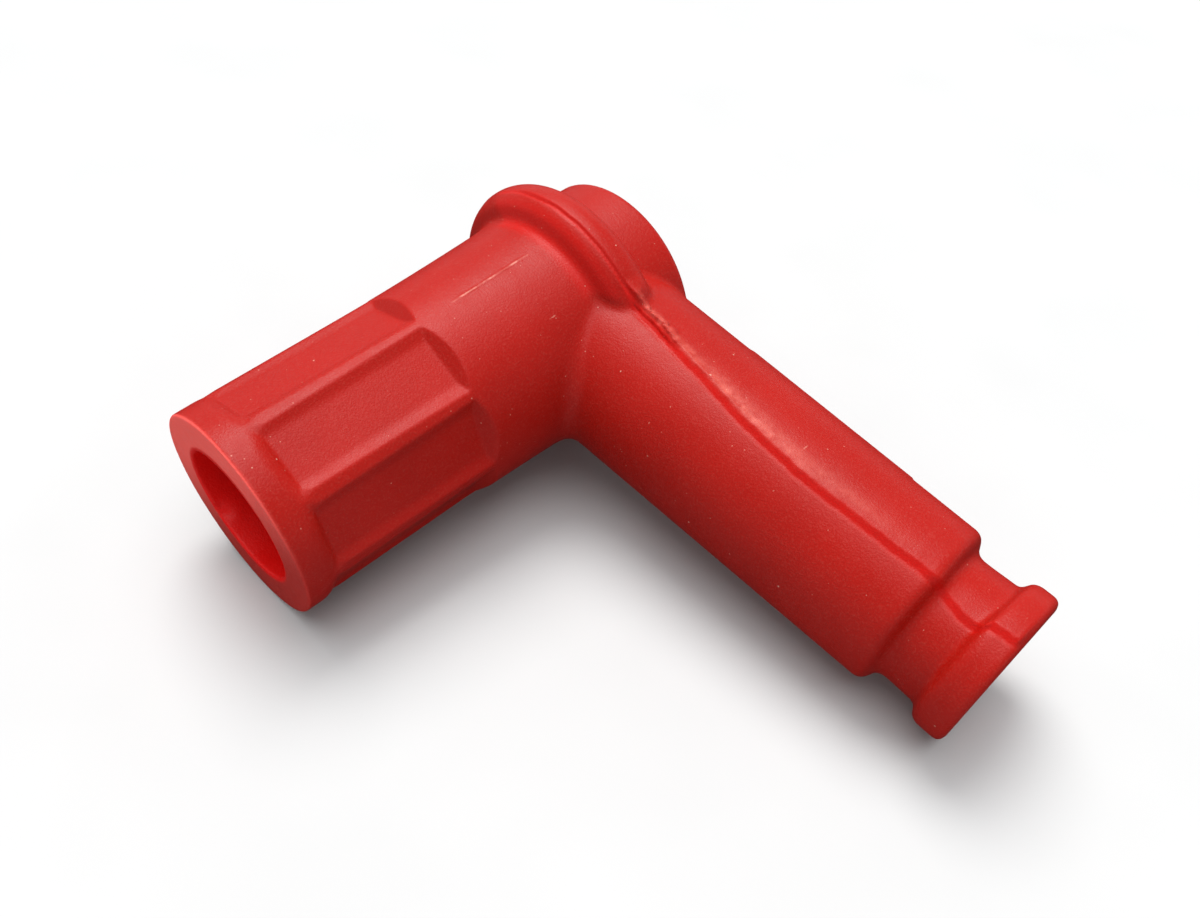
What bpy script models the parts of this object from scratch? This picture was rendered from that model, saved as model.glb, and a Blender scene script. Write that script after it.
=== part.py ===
"""Right-angle suppressor plug cap, lying on its side.

Frame: metres, +Z up. The lead arm points along +X, the plug socket opens along -Y and the closed
dome of the elbow is on the +Y side. The origin is the middle of the cap's footprint, at its base.
Every profile below is written in millimetres about the point where the two arms' axes cross.
"""

import math

import bmesh
import bpy
from mathutils import Matrix, Vector

MM = 0.001
GAP = 0.3

# Driving dimensions of the moulded boot
MOUTH_R = 11.5
MOUTH_Y = -43.4
MOUTH_EDGE = 0.5
SOCKET_DRAFT = 0.012
FLARE_START_Y = -24.0
FLARE_RISE = 0.75
FLARE_POWER = 1.6
FLARE_STATIONS_Y = (-15.0, -11.0, -7.5, -4.5)
DOME_R = 11.95
DOME_STRAIGHT_Y = 8.6
DOME_END_Y = 12.45
DOME_POWER = 1.6
DOME_STATIONS = (0.2, 0.42, 0.63, 0.81, 0.94)
BEAD_Y = 0.35
BEAD_R = 15.25
BEAD_HALF_WIDTH = 2.75
BEAD_HEIGHT = 2.25
SOCKET_BORE_R = 7.35
SOCKET_BORE_CHAMFER = 0.9
THROAT_START_Y = -36.2
THROAT_R = 6.7
LIP_R = 5.6
LIP_CENTRES_Y = (-34.6, -31.0)
LIP_HALF_ROOT = 1.0
LIP_HALF_CREST = 0.4
LEAD_R0 = 10.22
LEAD_DRAFT = 0.0176
ROOT_START_X = 2.0
ROOT_START_R = 6.0
ROOT_BURIED = 1.2
ROOT_FLARE_BACK = 0.9
ROOT_FLARE_MOUTH = 1.7
SHOULDER_X = 52.4
SHOULDER_CORNER = 1.0
NECK_R = 7.4
NECK_FILLET = 0.5
LEAD_END_X = 61.4
END_BEAD_R = 8.85
END_BEAD_FOOT_X = 57.6
END_BEAD_NEAR_CORNER = 0.9
END_BEAD_FAR_CORNER = 1.0
LEAD_BORE_R = 3.75
LEAD_BORE_CHAMFER = 1.1
LEAD_LIP_R = 3.2
LEAD_LIP_HALF = 0.7
LEAD_LIPS_X = (51.5, 55.0, 58.5)
PAD_START_X = 21.5
PAD_END_X = 43.3
PAD_HEIGHT = 0.28
PAD_RAMP_HALF = 0.15
PAD_HALF_ANGLE = 50

# Grip panels around the socket arm
PANELS = 8
PANEL_FLOOR = 10.62
PANEL_NEAR_Y = -40.6
PANEL_FAR_Y = -19.7
PANEL_FLOOR_HALF = 2.7
PANEL_RIM_HALF = 3.9
PANEL_WALL_RISE = 0.34
PANEL_END_SLOPE = 1.1
PANEL_END_LIP = 0.35

# Driving dimensions of the insulating core
CORE_R = 7.7
CORE_FRONT_Y = -26.5
CORE_BACK_Y = 6.5
CORE_ARM_R = 5.6
CORE_ARM_START_X = 1.0
CORE_ARM_END_X = 46.0
CUP_R = 5.9
CUP_FLOOR_Y = -9.0
WEB_TOP_Y = -4.0
ELBOW_CHAMBER_R = 5.0
CORE_CAP_INNER_Y = 4.4
CORE_CAP_CHAMFER = 0.4
RESISTOR_BORE_R = 3.9

# Driving dimensions of the terminal that grips the plug
TERMINAL_R = 3.9
TERMINAL_FRONT_Y = -24.0
TERMINAL_FLOOR = 1.5
TERMINAL_LEAD_IN = 0.6
NUT_BORE_R = 3.25
GROOVE_DEPTH = 0.45
GROOVE_START_Y = -21.2
GROOVE_END_Y = -19.8
GROOVE_WALL = 0.1
SLOT_HALF = 0.5
SLOT_END_Y = -15.0
CLIP_WIRE_R = 0.35
CLIP_Y = (GROOVE_START_Y + GROOVE_END_Y) / 2
CLIP_GAP_ANGLE = 50
CLIP_STEPS = 36
RIVET_R = 2.0
RIVET_HOLE_R = 2.3
RIVET_HEAD_R = 2.9
RIVET_LOW_Y = -11.1
RIVET_HIGH_Y = -2.0

# Driving dimensions of the contacts and the spring in the elbow
WASHER_R = 4.3
WASHER_THICKNESS = 0.5
STRIP_LOW_Y = -2.9
STRIP_HIGH_Y = -2.3
UPRIGHT_START_X = 3.3
UPRIGHT_END_X = 3.9
UPRIGHT_END_Y = 3.3
UPRIGHT_HALF = 2.3
SPRING_R = 2.6
SPRING_WIRE_R = 0.35
SPRING_START_X = 4.6
SPRING_END_X = 12.3
SPRING_TURNS = 6
SPRING_STEPS_PER_TURN = 16
WIRE_SIDES = 8

# Driving dimensions of the resistor and the lead's screw terminal
RESISTOR_R = 2.4
RESISTOR_START_X = 13.95
RESISTOR_END_X = 29.45
RESISTOR_CHAMFER = 0.3
CAP_R = 3.3
CAP_WALL = 0.55
CAP_FLOOR = 0.7
CAP_LENGTH = 2.95
CAP_CORNER = 0.2
INNER_CAP_X = 12.95
OUTER_CAP_X = 30.45
DISC_START_X = 32.7
DISC_END_X = 35.2
DISC_R = 3.6
DISC_HOLE_R = 1.65
DISC_CHAMFER = 0.2
HEAD_START_X = 30.8
HEAD_END_X = 32.4
HEAD_R = 3.0
HEAD_CHAMFER = 0.3
SHANK_R = 1.3
SHANK_END_X = 35.4
THREAD_START_X = 35.6
THREAD_RUN_IN = 0.8
TIP_CONE_X = 41.0
TIP_BLUNT = 0.15
SCREW_PITCH = 1.6
SCREW_CORE_R = 1.2
SCREW_THREAD_R = 2.0
SCREW_TIP_X = 43.4
SCREW_SIDES = 20
SCREW_STEPS_PER_PITCH = 6

FINE = 64
MEDIUM = 48
COARSE = 32


def clear_scene():
    for old in list(bpy.data.objects):
        bpy.data.objects.remove(old, do_unlink=True)


def material(name, colour, roughness, metallic=0.0):
    made = bpy.data.materials.new(name)
    made.use_nodes = True
    shader = made.node_tree.nodes["Principled BSDF"]
    shader.inputs["Base Color"].default_value = (*colour, 1.0)
    shader.inputs["Roughness"].default_value = roughness
    shader.inputs["Metallic"].default_value = metallic
    return made


def on_axis(axis, along, radius, angle):
    """A point at a distance along the X or Y axis, turned by an angle from +Z."""
    across, up = radius * math.sin(angle), radius * math.cos(angle)
    if axis == "Y":
        return Vector((across, along, up)) * MM
    return Vector((along, -across, up)) * MM


def add_rings(mesh, rings, closed):
    """Skin a list of vertex rings; a ring of one vertex is a tip."""
    last = len(rings) if closed else len(rings) - 1
    for k in range(last):
        low, high = rings[k], rings[(k + 1) % len(rings)]
        count = max(len(low), len(high))
        for j in range(count):
            n = (j + 1) % count
            corners = [low[j % len(low)], low[n % len(low)], high[n % len(high)], high[j % len(high)]]
            unique = list(dict.fromkeys(corners))
            if len(unique) > 2:
                mesh.faces.new(unique)
    if not closed:
        for ring in (rings[0], rings[-1]):
            if len(ring) > 1:
                mesh.faces.new(ring)


def finish_mesh(mesh, name, look, sharp=35):
    bmesh.ops.recalc_face_normals(mesh, faces=mesh.faces)
    data = bpy.data.meshes.new(name)
    mesh.to_mesh(data)
    mesh.free()
    data.shade_smooth()
    data.set_sharp_from_angle(angle=math.radians(sharp))
    if look:
        data.materials.append(look)
    made = bpy.data.objects.new(name, data)
    bpy.context.collection.objects.link(made)
    return made


def lathe(name, axis, profile, segments, look=None, closed=False):
    """Turn a profile of (along, radius) points about the X or Y axis."""
    mesh = bmesh.new()
    rings = []
    for along, radius in profile:
        steps = 1 if radius == 0 else segments
        turn = [math.tau * j / steps for j in range(steps)]
        rings.append([mesh.verts.new(on_axis(axis, along, radius, a)) for a in turn])
    add_rings(mesh, rings, closed)
    return finish_mesh(mesh, name, look)


def box(name, low, high, look=None):
    mesh = bmesh.new()
    bmesh.ops.create_cube(mesh, size=1.0)
    size = Vector(high) - Vector(low)
    middle = (Vector(high) + Vector(low)) / 2
    bmesh.ops.scale(mesh, vec=size * MM, verts=mesh.verts)
    bmesh.ops.translate(mesh, vec=middle * MM, verts=mesh.verts)
    return finish_mesh(mesh, name, look)


def swept_tube(name, path, radius, sides, look):
    """A round wire along a list of points in millimetres, with flat ends."""
    mesh = bmesh.new()
    rings = []
    for k, point in enumerate(path):
        ahead = path[min(k + 1, len(path) - 1)]
        behind = path[max(k - 1, 0)]
        tangent = (ahead - behind).normalized()
        if k == 0:
            side = tangent.orthogonal().normalized()
        else:
            side = (side - tangent * side.dot(tangent)).normalized()
        other = tangent.cross(side)
        ring = []
        for j in range(sides):
            turn = math.tau * j / sides
            spoke = side * math.cos(turn) + other * math.sin(turn)
            ring.append(mesh.verts.new((point + spoke * radius) * MM))
        rings.append(ring)
    add_rings(mesh, rings, closed=False)
    return finish_mesh(mesh, name, look)


def combine(target, tool, operation):
    """Add or cut a hidden helper shape with a Boolean modifier."""
    step = target.modifiers.new(tool.name, "BOOLEAN")
    step.operation = operation
    step.object = tool
    step.solver = "EXACT"
    tool.hide_render = True
    tool.display_type = "WIRE"


def arc(along, radius, size_along, size_radius, start, end, steps):
    """Points of an elliptical arc in a profile, by angle from the axis direction."""
    points = []
    for k in range(steps + 1):
        turn = math.radians(start + (end - start) * k / steps)
        points.append((along + size_along * math.cos(turn), radius + size_radius * math.sin(turn)))
    return points


def crown_radius(y):
    """Radius of the closed dome beyond its straight wall."""
    share = min(max((y - DOME_STRAIGHT_Y) / (DOME_END_Y - DOME_STRAIGHT_Y), 0.0), 1.0)
    return DOME_R * (1.0 - share**DOME_POWER) ** (1.0 / DOME_POWER)


def socket_radius(y):
    """Outer radius of the socket arm and dome, leaving the ring bead out."""
    if y > BEAD_Y:
        return crown_radius(y)
    flare = max(0.0, 1.0 - y / FLARE_START_Y)
    return MOUTH_R + SOCKET_DRAFT * (y - MOUTH_Y) + FLARE_RISE * flare**FLARE_POWER


def lead_radius(x):
    return LEAD_R0 - LEAD_DRAFT * x


def socket_profile():
    points = [(MOUTH_Y, 0), (MOUTH_Y, MOUTH_R - MOUTH_EDGE)]
    points += arc(MOUTH_Y + MOUTH_EDGE, MOUTH_R - MOUTH_EDGE, MOUTH_EDGE, MOUTH_EDGE, 150, 90, 2)
    bead_base = BEAD_R - BEAD_HEIGHT
    for y in (PANEL_FAR_Y, *FLARE_STATIONS_Y):
        points.append((y, socket_radius(y)))
    points += arc(BEAD_Y, bead_base, BEAD_HALF_WIDTH, BEAD_HEIGHT, 180, 0, 10)
    points.append((BEAD_Y + BEAD_HALF_WIDTH + GAP, DOME_R))
    points.append((DOME_STRAIGHT_Y, DOME_R))
    for share in DOME_STATIONS:
        y = DOME_STRAIGHT_Y + share * (DOME_END_Y - DOME_STRAIGHT_Y)
        points.append((y, crown_radius(y)))
    points.append((DOME_END_Y, 0))
    return points


def root_points(angle):
    """The lead arm's flared root at one angle: it eases into the socket arm and ends inside it."""
    towards_mouth = max(0.0, math.sin(angle))
    flare = ROOT_FLARE_BACK + ROOT_FLARE_MOUTH * towards_mouth**1.5

    def wall_x(radius):
        y, z = -radius * math.sin(angle), radius * math.cos(angle)
        return math.sqrt(max(socket_radius(y) ** 2 - z**2, 4.0))

    straight = lead_radius(DOME_R)
    points = [(ROOT_START_X, ROOT_START_R), (wall_x(straight + flare) - ROOT_BURIED, straight + flare)]
    for turn in (14, 40, 65, 90):
        lean = math.radians(turn)
        radius = straight + flare * (1 - math.sin(lean))
        points.append((wall_x(radius) + flare * (1 - math.cos(lean)), radius))
    return points


def lead_arm_points(angle):
    """One lengthwise line of the lead arm, from inside the elbow to the end face."""
    from_back = abs((math.degrees(angle) - 270 + 180) % 360 - 180)
    pad = PAD_HEIGHT if from_back <= PAD_HALF_ANGLE else 0.0
    points = root_points(angle)
    for x, raised in (
        (PAD_START_X - PAD_RAMP_HALF, 0),
        (PAD_START_X + PAD_RAMP_HALF, pad),
        (PAD_END_X - PAD_RAMP_HALF, pad),
        (PAD_END_X + PAD_RAMP_HALF, 0),
    ):
        points.append((x, lead_radius(x) + raised))
    shoulder = lead_radius(SHOULDER_X)
    corner = SHOULDER_CORNER
    points += arc(SHOULDER_X - corner, shoulder - corner, corner, corner, 90, 0, 3)
    corner = NECK_FILLET
    points += arc(SHOULDER_X + corner, NECK_R + corner, corner, corner, 180, 270, 2)
    points.append((END_BEAD_FOOT_X, NECK_R + 0.1))
    corner = END_BEAD_NEAR_CORNER
    bead_face = END_BEAD_FOOT_X + 0.25
    points += arc(bead_face + corner, END_BEAD_R - corner, corner, corner, 180, 90, 3)
    corner = END_BEAD_FAR_CORNER
    points += arc(LEAD_END_X - corner, END_BEAD_R - corner, corner, corner, 90, 0, 3)
    return points


def lead_arm_blank():
    mesh = bmesh.new()
    lines = [lead_arm_points(math.tau * j / MEDIUM) for j in range(MEDIUM)]
    rings = []
    for k in range(len(lines[0])):
        ring = []
        for j, line in enumerate(lines):
            along, radius = line[k]
            ring.append(mesh.verts.new(on_axis("X", along, radius, math.tau * j / MEDIUM)))
        rings.append(ring)
    add_rings(mesh, rings, closed=False)
    return finish_mesh(mesh, "lead_arm_blank", None)


def panel_cutter(index):
    """The space of one grip panel: flat floor, sloping walls, open above the arm's surface."""
    loops = (
        (PANEL_FLOOR, PANEL_FLOOR_HALF, PANEL_END_SLOPE),
        (PANEL_FLOOR + PANEL_WALL_RISE, PANEL_RIM_HALF, PANEL_END_LIP),
        (MOUTH_R + 0.2, PANEL_RIM_HALF, 0.0),
        (MOUTH_R + 1.4, PANEL_RIM_HALF, 0.0),
    )
    mesh = bmesh.new()
    rings = []
    for height, half, inset in loops:
        near, far = PANEL_NEAR_Y + inset, PANEL_FAR_Y - inset
        corners = ((-half, near), (half, near), (half, far), (-half, far))
        rings.append([mesh.verts.new(Vector((x, y, height)) * MM) for x, y in corners])
    add_rings(mesh, rings, closed=False)
    turn = math.tau * (index + 0.5) / PANELS
    bmesh.ops.rotate(mesh, matrix=Matrix.Rotation(turn, 3, "Y"), verts=mesh.verts)
    return finish_mesh(mesh, f"panel_space_{index + 1}", None)


def socket_bore():
    lips = []
    for centre in LIP_CENTRES_Y:
        lips += [(centre - LIP_HALF_ROOT, THROAT_R), (centre - LIP_HALF_CREST, LIP_R)]
        lips += [(centre + LIP_HALF_CREST, LIP_R), (centre + LIP_HALF_ROOT, THROAT_R)]
    chamber_r = CORE_R + GAP
    profile = [(MOUTH_Y - 1.0, 0), (MOUTH_Y - 1.0, SOCKET_BORE_R + SOCKET_BORE_CHAMFER)]
    profile += [(MOUTH_Y + GAP, SOCKET_BORE_R), (THROAT_START_Y, SOCKET_BORE_R)] + lips
    profile += [(CORE_FRONT_Y - GAP, THROAT_R), (CORE_FRONT_Y - GAP, chamber_r)]
    profile += [(CORE_BACK_Y + GAP, chamber_r), (CORE_BACK_Y + GAP, 0)]
    return lathe("socket_bore_space", "Y", profile, MEDIUM)


def lead_bore():
    chamber_r = CORE_ARM_R + GAP
    chamber_end = CORE_ARM_END_X + GAP
    profile = [(0, 0), (0, chamber_r), (chamber_end, chamber_r), (chamber_end, LEAD_BORE_R)]
    for centre in LEAD_LIPS_X:
        profile += [(centre - LEAD_LIP_HALF, LEAD_BORE_R), (centre, LEAD_LIP_R)]
        profile.append((centre + LEAD_LIP_HALF, LEAD_BORE_R))
    profile.append((LEAD_END_X - 0.6, LEAD_BORE_R))
    profile += [(LEAD_END_X + 1.0, LEAD_BORE_R + LEAD_BORE_CHAMFER), (LEAD_END_X + 1.0, 0)]
    return lathe("lead_bore_space", "X", profile, COARSE)


def elbow_boot():
    look = material("red_silicone", (0.58, 0.022, 0.018), 0.5)
    boot = lathe("elbow_boot", "Y", socket_profile(), FINE, look)
    combine(boot, lead_arm_blank(), "UNION")
    combine(boot, socket_bore(), "DIFFERENCE")
    combine(boot, lead_bore(), "DIFFERENCE")
    for index in range(PANELS):
        combine(boot, panel_cutter(index), "DIFFERENCE")


def cylinder(name, axis, start, end, radius, segments, look=None):
    return lathe(name, axis, [(start, 0), (start, radius), (end, radius), (end, 0)], segments, look)


def insulator_core():
    look = material("phenolic", (0.05, 0.028, 0.018), 0.42)
    over = 1.0
    arm = cylinder("core_arm_blank", "X", CORE_ARM_START_X, CORE_ARM_END_X, CORE_ARM_R, COARSE)
    cup = cylinder("cup_space", "Y", CORE_FRONT_Y - over, CUP_FLOOR_Y, CUP_R, COARSE)
    chamber = cylinder("chamber_space", "Y", WEB_TOP_Y, CORE_BACK_Y + over, ELBOW_CHAMBER_R, COARSE)
    hole = cylinder("rivet_hole", "Y", CUP_FLOOR_Y - over, WEB_TOP_Y + over, RIVET_HOLE_R, COARSE)
    bore = cylinder("resistor_bore", "X", 0, CORE_ARM_END_X + over, RESISTOR_BORE_R, COARSE)
    core = cylinder("insulator_core", "Y", CORE_FRONT_Y, CORE_BACK_Y, CORE_R, MEDIUM, look)
    combine(core, arm, "UNION")
    for space in (cup, chamber, hole, bore):
        combine(core, space, "DIFFERENCE")


def core_cap():
    look = material("phenolic_cap", (0.06, 0.034, 0.022), 0.45)
    radius = ELBOW_CHAMBER_R - GAP
    chamfer = CORE_CAP_CHAMFER
    profile = [(CORE_CAP_INNER_Y, 0), (CORE_CAP_INNER_Y, radius), (CORE_BACK_Y - chamfer, radius)]
    profile += [(CORE_BACK_Y, radius - chamfer), (CORE_BACK_Y, 0)]
    lathe("core_cap", "Y", profile, COARSE, look)


def plug_terminal():
    """Slotted brass sleeve that springs over the plug's terminal nut."""
    look = material("brass", (0.72, 0.50, 0.20), 0.28, 1.0)
    floor_y = CUP_FLOOR_Y - GAP
    profile = [
        (TERMINAL_FRONT_Y, NUT_BORE_R + 0.2),
        (TERMINAL_FRONT_Y, TERMINAL_R - 0.1),
        (GROOVE_START_Y, TERMINAL_R),
        (GROOVE_START_Y + GROOVE_WALL, TERMINAL_R - GROOVE_DEPTH),
        (GROOVE_END_Y - GROOVE_WALL, TERMINAL_R - GROOVE_DEPTH),
        (GROOVE_END_Y, TERMINAL_R),
        (floor_y, TERMINAL_R),
        (floor_y, RIVET_HOLE_R),
        (floor_y - TERMINAL_FLOOR, RIVET_HOLE_R),
        (floor_y - TERMINAL_FLOOR, NUT_BORE_R),
        (TERMINAL_FRONT_Y + TERMINAL_LEAD_IN, NUT_BORE_R),
    ]
    sleeve = lathe("plug_terminal", "Y", profile, COARSE, look, closed=True)
    reach = TERMINAL_R + 1.0
    start = TERMINAL_FRONT_Y - 1.0
    wide = box("slot_space_wide", (-reach, start, -SLOT_HALF), (reach, SLOT_END_Y, SLOT_HALF))
    tall = box("slot_space_tall", (-SLOT_HALF, start, -reach), (SLOT_HALF, SLOT_END_Y, reach))
    combine(sleeve, wide, "DIFFERENCE")
    combine(sleeve, tall, "DIFFERENCE")


def terminal_clip():
    """Spring-steel snap ring in the sleeve's groove."""
    look = material("clip_steel", (0.55, 0.55, 0.57), 0.3, 1.0)
    radius = TERMINAL_R - GROOVE_DEPTH + GAP + CLIP_WIRE_R
    path = []
    for k in range(CLIP_STEPS + 1):
        turn = math.radians(CLIP_GAP_ANGLE / 2 + (360 - CLIP_GAP_ANGLE) * k / CLIP_STEPS)
        path.append(Vector((radius * math.sin(turn), CLIP_Y, radius * math.cos(turn))))
    swept_tube("terminal_clip", path, CLIP_WIRE_R, WIRE_SIDES, look)


def terminal_rivet():
    """A flat head in the terminal's floor and a closed, domed head above the elbow contact."""
    look = material("rivet_brass", (0.70, 0.47, 0.19), 0.35, 1.0)
    low, high = RIVET_LOW_Y, RIVET_HIGH_Y
    profile = [(low - 0.9, 0), (low - 0.9, RIVET_HEAD_R - 0.4), (low - 0.5, RIVET_HEAD_R)]
    profile += [(low, RIVET_HEAD_R), (low, RIVET_R), (high, RIVET_R), (high, RIVET_HEAD_R)]
    profile += [(high + 0.4, RIVET_HEAD_R - GAP), (high + 0.8, RIVET_HEAD_R / 2), (high + 0.8, 0)]
    lathe("terminal_rivet", "Y", profile, COARSE, look)


def pierced_disc(name, low, high, look):
    profile = [(low, RIVET_HOLE_R), (low, WASHER_R), (high, WASHER_R), (high, RIVET_HOLE_R)]
    return lathe(name, "Y", profile, COARSE, look, closed=True)


def contact_washer():
    look = material("washer_steel", (0.60, 0.60, 0.61), 0.3, 1.0)
    low = WEB_TOP_Y + GAP
    pierced_disc("contact_washer", low, low + WASHER_THICKNESS, look)


def elbow_contact():
    """Brass strip that turns the current from the rivet round to the spring."""
    look = material("contact_brass", (0.74, 0.53, 0.24), 0.32, 1.0)
    contact = pierced_disc("elbow_contact", STRIP_LOW_Y, STRIP_HIGH_Y, look)
    low = (UPRIGHT_START_X, STRIP_LOW_Y + 0.1, -UPRIGHT_HALF)
    high = (UPRIGHT_END_X, UPRIGHT_END_Y, UPRIGHT_HALF)
    combine(contact, box("contact_upright", low, high), "UNION")


def contact_spring():
    look = material("spring_steel", (0.62, 0.62, 0.64), 0.25, 1.0)
    steps = SPRING_STEPS_PER_TURN * SPRING_TURNS
    path = []
    for k in range(steps + 1):
        share = k / steps
        turn = math.tau * SPRING_TURNS * share
        along = SPRING_START_X + (SPRING_END_X - SPRING_START_X) * share
        path.append(Vector((along, SPRING_R * math.sin(turn), SPRING_R * math.cos(turn))))
    swept_tube("contact_spring", path, SPRING_WIRE_R, WIRE_SIDES, look)


def resistor():
    """Ceramic rod with a plated cup on each end."""
    plated = material("cap_plating", (0.66, 0.64, 0.58), 0.3, 1.0)
    ceramic = material("ceramic", (0.74, 0.70, 0.62), 0.55)
    for name, base, out in (
        ("resistor_cap_inner", INNER_CAP_X, 1),
        ("resistor_cap_outer", OUTER_CAP_X, -1),
    ):
        profile = [
            (base, 0),
            (base, CAP_R - CAP_CORNER),
            (base + CAP_CORNER * out, CAP_R),
            (base + CAP_LENGTH * out, CAP_R),
            (base + CAP_LENGTH * out, CAP_R - CAP_WALL),
            (base + CAP_FLOOR * out, CAP_R - CAP_WALL),
            (base + CAP_FLOOR * out, 0),
        ]
        lathe(name, "X", profile, COARSE, plated)
    chamfer = RESISTOR_CHAMFER
    rod = [(RESISTOR_START_X, 0), (RESISTOR_START_X, RESISTOR_R - chamfer)]
    rod += [(RESISTOR_START_X + chamfer, RESISTOR_R), (RESISTOR_END_X - chamfer, RESISTOR_R)]
    rod += [(RESISTOR_END_X, RESISTOR_R - chamfer), (RESISTOR_END_X, 0)]
    lathe("resistor_rod", "X", rod, COARSE, ceramic)


def lead_terminal():
    look = material("terminal_brass", (0.70, 0.49, 0.21), 0.3, 1.0)
    start, end, chamfer = DISC_START_X, DISC_END_X, DISC_CHAMFER
    profile = [(start, DISC_HOLE_R), (start, DISC_R - chamfer), (start + chamfer, DISC_R)]
    profile += [(end - chamfer, DISC_R), (end, DISC_R - chamfer), (end, DISC_HOLE_R)]
    lathe("lead_terminal", "X", profile, COARSE, look, closed=True)


def thread_radius(along, share):
    """Radius of the screw's thread at a height and a share of a turn, tapering to its tip."""
    taper = min(1.0, max(TIP_BLUNT, (SCREW_TIP_X - along) / (SCREW_TIP_X - TIP_CONE_X)))
    phase = (along / SCREW_PITCH - share) % 1.0
    run_in = min(1.0, (along - THREAD_START_X) / THREAD_RUN_IN)
    ridge = max(0.0, 1.0 - abs(phase - 0.5) * 4.0) * run_in
    return (SCREW_CORE_R + (SCREW_THREAD_R - SCREW_CORE_R) * ridge) * taper


def lead_screw():
    """Coarse-threaded screw that the lead's core is turned on to."""
    look = material("screw_brass", (0.74, 0.55, 0.26), 0.3, 1.0)
    shares = [j / SCREW_SIDES for j in range(SCREW_SIDES)]
    mesh = bmesh.new()
    rings = [[mesh.verts.new(on_axis("X", HEAD_START_X, 0, 0))]]
    for along, radius in (
        (HEAD_START_X, HEAD_R - HEAD_CHAMFER),
        (HEAD_START_X + HEAD_CHAMFER, HEAD_R),
        (HEAD_END_X, HEAD_R),
        (HEAD_END_X, SHANK_R),
        (SHANK_END_X, SHANK_R),
    ):
        rings.append([mesh.verts.new(on_axis("X", along, radius, math.tau * share)) for share in shares])
    count = int((SCREW_TIP_X - THREAD_START_X) / SCREW_PITCH * SCREW_STEPS_PER_PITCH)
    thread_end = SCREW_TIP_X - 0.3
    for k in range(count + 1):
        along = THREAD_START_X + (thread_end - THREAD_START_X) * k / count
        ring = []
        for share in shares:
            radius = thread_radius(along, share)
            ring.append(mesh.verts.new(on_axis("X", along, radius, math.tau * share)))
        rings.append(ring)
    rings.append([mesh.verts.new(on_axis("X", SCREW_TIP_X, 0, 0))])
    add_rings(mesh, rings, closed=False)
    finish_mesh(mesh, "lead_screw", look)


def set_down():
    """Put the footprint's middle at the origin by parenting every shape to the axes' crossing."""
    crossing = bpy.data.objects.new("axes_crossing", None)
    bpy.context.collection.objects.link(crossing)
    middle_x = (LEAD_END_X - BEAD_R) / 2
    middle_y = (MOUTH_Y + DOME_END_Y) / 2
    crossing.location = Vector((-middle_x, -middle_y, BEAD_R)) * MM
    for shape in bpy.context.collection.objects:
        if shape != crossing:
            shape.parent = crossing


clear_scene()
elbow_boot()
insulator_core()
core_cap()
plug_terminal()
terminal_clip()
terminal_rivet()
contact_washer()
elbow_contact()
contact_spring()
resistor()
lead_terminal()
lead_screw()
set_down()
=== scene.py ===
"""Right-angle silicone plug cap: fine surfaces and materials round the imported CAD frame."""

import math

import bmesh
import bpy
import numpy as np
from mathutils import Matrix, Vector


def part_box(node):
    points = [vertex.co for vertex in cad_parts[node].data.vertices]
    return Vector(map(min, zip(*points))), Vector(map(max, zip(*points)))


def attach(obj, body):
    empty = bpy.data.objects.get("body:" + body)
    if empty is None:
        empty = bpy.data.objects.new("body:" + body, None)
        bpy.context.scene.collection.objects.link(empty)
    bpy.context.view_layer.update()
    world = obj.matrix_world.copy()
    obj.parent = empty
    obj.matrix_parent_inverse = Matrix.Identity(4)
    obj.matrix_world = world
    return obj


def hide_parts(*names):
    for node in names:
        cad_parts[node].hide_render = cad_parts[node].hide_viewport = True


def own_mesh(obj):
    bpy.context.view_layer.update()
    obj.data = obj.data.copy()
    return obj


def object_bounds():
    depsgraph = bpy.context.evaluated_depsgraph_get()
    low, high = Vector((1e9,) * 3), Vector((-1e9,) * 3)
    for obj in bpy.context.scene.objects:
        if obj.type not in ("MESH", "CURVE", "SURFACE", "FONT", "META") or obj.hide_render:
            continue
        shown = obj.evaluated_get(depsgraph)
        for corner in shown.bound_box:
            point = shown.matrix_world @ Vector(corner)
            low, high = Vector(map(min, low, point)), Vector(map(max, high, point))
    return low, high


MM = 0.001

# The moulded boot, in millimetres about the point where the two arms' axes cross. The overall lengths and
# the places of the inner pieces are read from the frame, at the end of the script.
MOUTH_R = 11.5
MOUTH_EDGE = 0.45
RIM_UNEVEN = 0.09
SOCKET_DRAFT = 0.0105
ELBOW_FLARE = 0.75
ELBOW_FLARE_POWER = 1.7
FLARE_START = -24.0
SMALL_EDGE = 0.3
DOME_R = 11.95
DOME_STRAIGHT = 8.6
DOME_POWER = 1.6
BEAD_Y = 0.35
BEAD_HALF_WIDTH = 2.75
BEAD_HEIGHT = 2.25
RING_FILLET = 1.3
DOME_FILLET = 0.4
INNER_CORNER_FILLET = 2.0
OUTER_CORNER_FILLET = 0.5
PARTING_Y = -0.5
SOCKET_BORE_R = 7.35
SOCKET_BORE_END = -36.0
BORE_OVAL = 0.25
BORE_EDGE = 0.22
NICK_ANGLE = -2.4
NICK_DEPTH = 0.5
THROAT_R = 6.7
THROAT_START = -37.0
LIP_R = 5.6
LIP_HALF_WIDTH = 0.95
LEAD_R0 = 10.22
LEAD_DRAFT = 0.0176
SHOULDER_X = 52.4
NECK_R = 7.4
NECK_SWELL = 0.1
NECK_STRETCH = (54.0, 58.0)
NECK_ROOT_X = 45.0
END_BEAD_R = 8.85
END_BEAD_X = 58.0
END_BEAD_SHIFT = 0.45
END_BEAD_OUTER_EDGE = 1.0
END_BEAD_INNER_EDGE = 1.5
SHOULDER_EDGE = 1.4
NECK_FILLET = 1.5
BEAD_FILLET = 0.8
LEAD_BORE_R = 3.75
LEAD_LIP_R = 3.2
LEAD_LIP_HALF_WIDTH = 0.7
PAD_START = 21.5
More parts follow.
